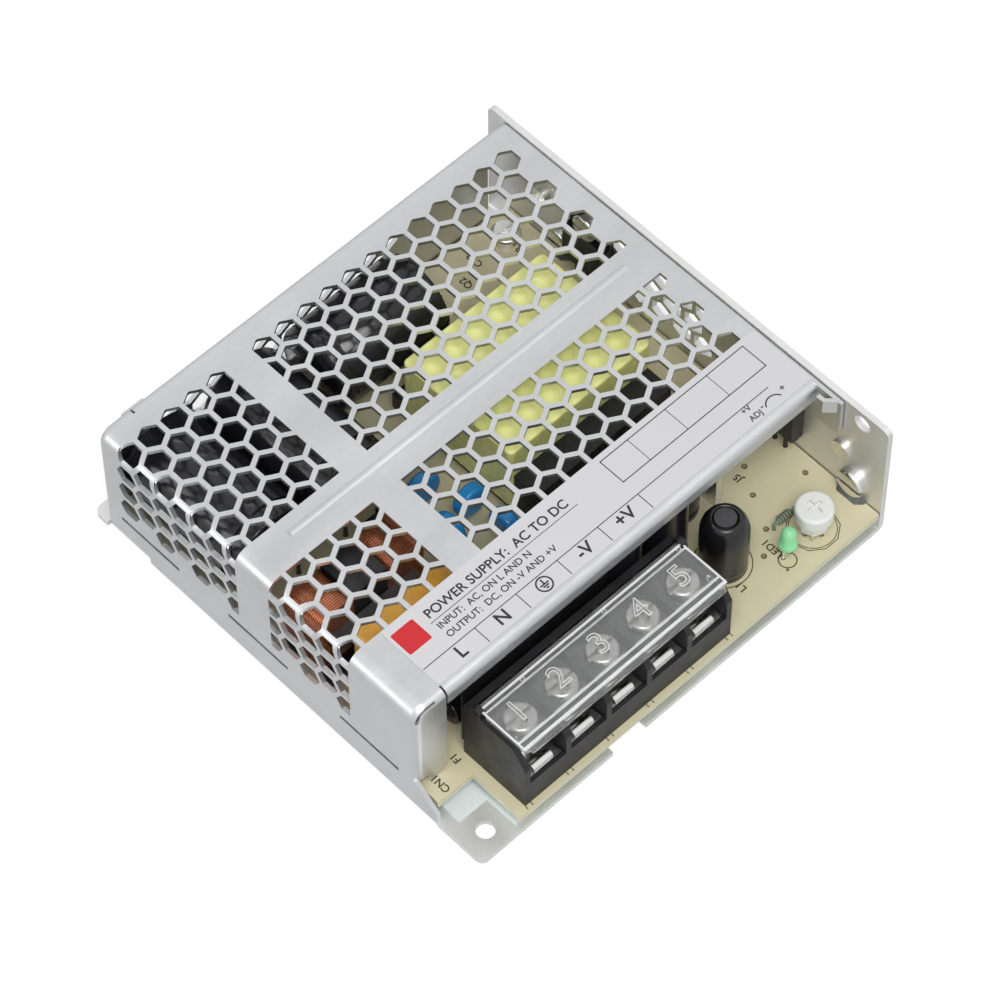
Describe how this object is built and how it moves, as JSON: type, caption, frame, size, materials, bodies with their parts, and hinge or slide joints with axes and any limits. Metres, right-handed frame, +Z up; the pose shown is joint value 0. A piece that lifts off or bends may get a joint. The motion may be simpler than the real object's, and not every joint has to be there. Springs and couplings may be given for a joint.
{
  "type": "enclosed power supply",
  "caption": "Slim enclosed switching power supply with a honeycomb-vented cover, a screw terminal row under a clear hinged flap, an output trimmer and a status lamp.",
  "frame": {"origin": "centre of the footprint on the underside of the chassis plate", "axes": "+Z up through the cover, +Y from the terminal row to the rear, +X along the terminal row towards the chassis wall"},
  "size_m": [0.097, 0.098, 0.03],
  "materials": {
    "chassis_metal": "satin",
    "cover_metal": "satin",
    "label_film": "matte",
    "white_film": "matte",
    "plated_steel": "glossy",
    "dark_plastic": "matte",
    "clear_plastic": "glossy",
    "white_plastic": "satin",
    "green_lens": "glossy",
    "resistor_body": "satin",
    "ferrite": "matte",
    "black_sleeve": "glossy",
    "bare_aluminium": "satin",
    "yellow_tape": "satin",
    "amber_box": "satin",
    "copper_wire": "glossy",
    "blue_disc": "glossy",
    "green_disc": "satin",
    "fuse_sleeve": "glossy",
    "board_laminate": "satin"
  },
  "bodies": {
    "housing": {"base_chassis": "chassis_metal", "top_cover": "cover_metal", "rating_label": "label_film", "insulating_sheet": "white_film", "board_screw_1": "plated_steel", "board_screw_2": "plated_steel", "board_screw_3": "plated_steel", "wall_screw_front": "plated_steel", "wall_screw_rear": "plated_steel", "wall_stud_front": "plated_steel", "wall_stud_rear": "plated_steel", "terminal_block_body": "dark_plastic", "terminal_contact_1": "plated_steel", "terminal_contact_2": "plated_steel", "terminal_contact_3": "plated_steel", "terminal_contact_4": "plated_steel", "terminal_contact_5": "plated_steel", "trimmer_body": "white_plastic", "led_lens": "green_lens", "led_leads": "plated_steel", "sense_resistor": "resistor_body", "output_choke_core": "ferrite", "output_choke_sleeve": "black_sleeve", "output_heatsink": "bare_aluminium", "transformer_wrap": "yellow_tape", "transformer_core": "ferrite", "transformer_bobbin": "dark_plastic", "x_capacitor": "amber_box", "line_choke_core": "ferrite", "line_choke_bobbin": "dark_plastic", "line_winding_left": "copper_wire", "line_winding_right": "copper_wire", "bulk_capacitor_1": "black_sleeve", "bulk_capacitor_2": "black_sleeve", "output_capacitor_1": "black_sleeve", "output_capacitor_2": "black_sleeve", "output_capacitor_3": "black_sleeve", "y_capacitor_1": "blue_disc", "y_capacitor_2": "blue_disc", "y_capacitor_3": "blue_disc", "y_capacitor_4": "blue_disc", "thermistor": "green_disc", "fuse": "fuse_sleeve", "bridge_rectifier": "dark_plastic", "output_rectifier": "dark_plastic", "switching_transistor": "dark_plastic", "transistor_screws": "plated_steel", "circuit_board": "board_laminate"},
    "terminal_flap": {"terminal_cover": "clear_plastic"},
    "trimmer_dial": {"trimmer_knob": "white_plastic"},
    "clamp_1": {"clamp_plate_1": "plated_steel"},
    "screw_1": {"terminal_screw_1": "plated_steel"},
    "clamp_2": {"clamp_plate_2": "plated_steel"},
    "screw_2": {"terminal_screw_2": "plated_steel"},
    "clamp_3": {"clamp_plate_3": "plated_steel"},
    "screw_3": {"terminal_screw_3": "plated_steel"},
    "clamp_4": {"clamp_plate_4": "plated_steel"},
    "screw_4": {"terminal_screw_4": "plated_steel"},
    "clamp_5": {"clamp_plate_5": "plated_steel"},
    "screw_5": {"terminal_screw_5": "plated_steel"}
  },
  "joints": [
    {"name": "flap_hinge", "type": "hinge", "parent": "housing", "child": "terminal_flap", "pos_m": [-0.0131, -0.036, 0.0214], "axis": [-1, 0, 0], "range_deg": [0, 95]},
    {"name": "trimmer_turn", "type": "hinge", "parent": "housing", "child": "trimmer_dial", "pos_m": [0.03689, -0.04284, 0.0108], "axis": [0, 0, 1], "range_deg": [-120, 120]},
    {"name": "clamp_slide_1", "type": "slide", "parent": "housing", "child": "clamp_1", "axis": [0, 0, 1], "range_m": [-0.0048, 0]},
    {"name": "screw_turn_1", "type": "hinge", "parent": "clamp_1", "child": "screw_1", "pos_m": [-0.0321, -0.0413, 0.0172], "axis": [0, 0, 1], "range_deg": [-2880, 0]},
    {"name": "clamp_slide_2", "type": "slide", "parent": "housing", "child": "clamp_2", "axis": [0, 0, 1], "range_m": [-0.0048, 0]},
    {"name": "screw_turn_2", "type": "hinge", "parent": "clamp_2", "child": "screw_2", "pos_m": [-0.0226, -0.0413, 0.0172], "axis": [0, 0, 1], "range_deg": [-2880, 0]},
    {"name": "clamp_slide_3", "type": "slide", "parent": "housing", "child": "clamp_3", "axis": [0, 0, 1], "range_m": [-0.0048, 0]},
    {"name": "screw_turn_3", "type": "hinge", "parent": "clamp_3", "child": "screw_3", "pos_m": [-0.0131, -0.0413, 0.0172], "axis": [0, 0, 1], "range_deg": [-2880, 0]},
    {"name": "clamp_slide_4", "type": "slide", "parent": "housing", "child": "clamp_4", "axis": [0, 0, 1], "range_m": [-0.0048, 0]},
    {"name": "screw_turn_4", "type": "hinge", "parent": "clamp_4", "child": "screw_4", "pos_m": [-0.0036, -0.0413, 0.0172], "axis": [0, 0, 1], "range_deg": [-2880, 0]},
    {"name": "clamp_slide_5", "type": "slide", "parent": "housing", "child": "clamp_5", "axis": [0, 0, 1], "range_m": [-0.0048, 0]},
    {"name": "screw_turn_5", "type": "hinge", "parent": "clamp_5", "child": "screw_5", "pos_m": [0.0059, -0.0413, 0.0172], "axis": [0, 0, 1], "range_deg": [-2880, 0]}
  ],
  "couplings": [
    {"joint": "screw_turn_1", "follows": "clamp_slide_1", "rad_per_m": 10472},
    {"joint": "screw_turn_2", "follows": "clamp_slide_2", "rad_per_m": 10472},
    {"joint": "screw_turn_3", "follows": "clamp_slide_3", "rad_per_m": 10472},
    {"joint": "screw_turn_4", "follows": "clamp_slide_4", "rad_per_m": 10472},
    {"joint": "screw_turn_5", "follows": "clamp_slide_5", "rad_per_m": 10472}
  ]
}
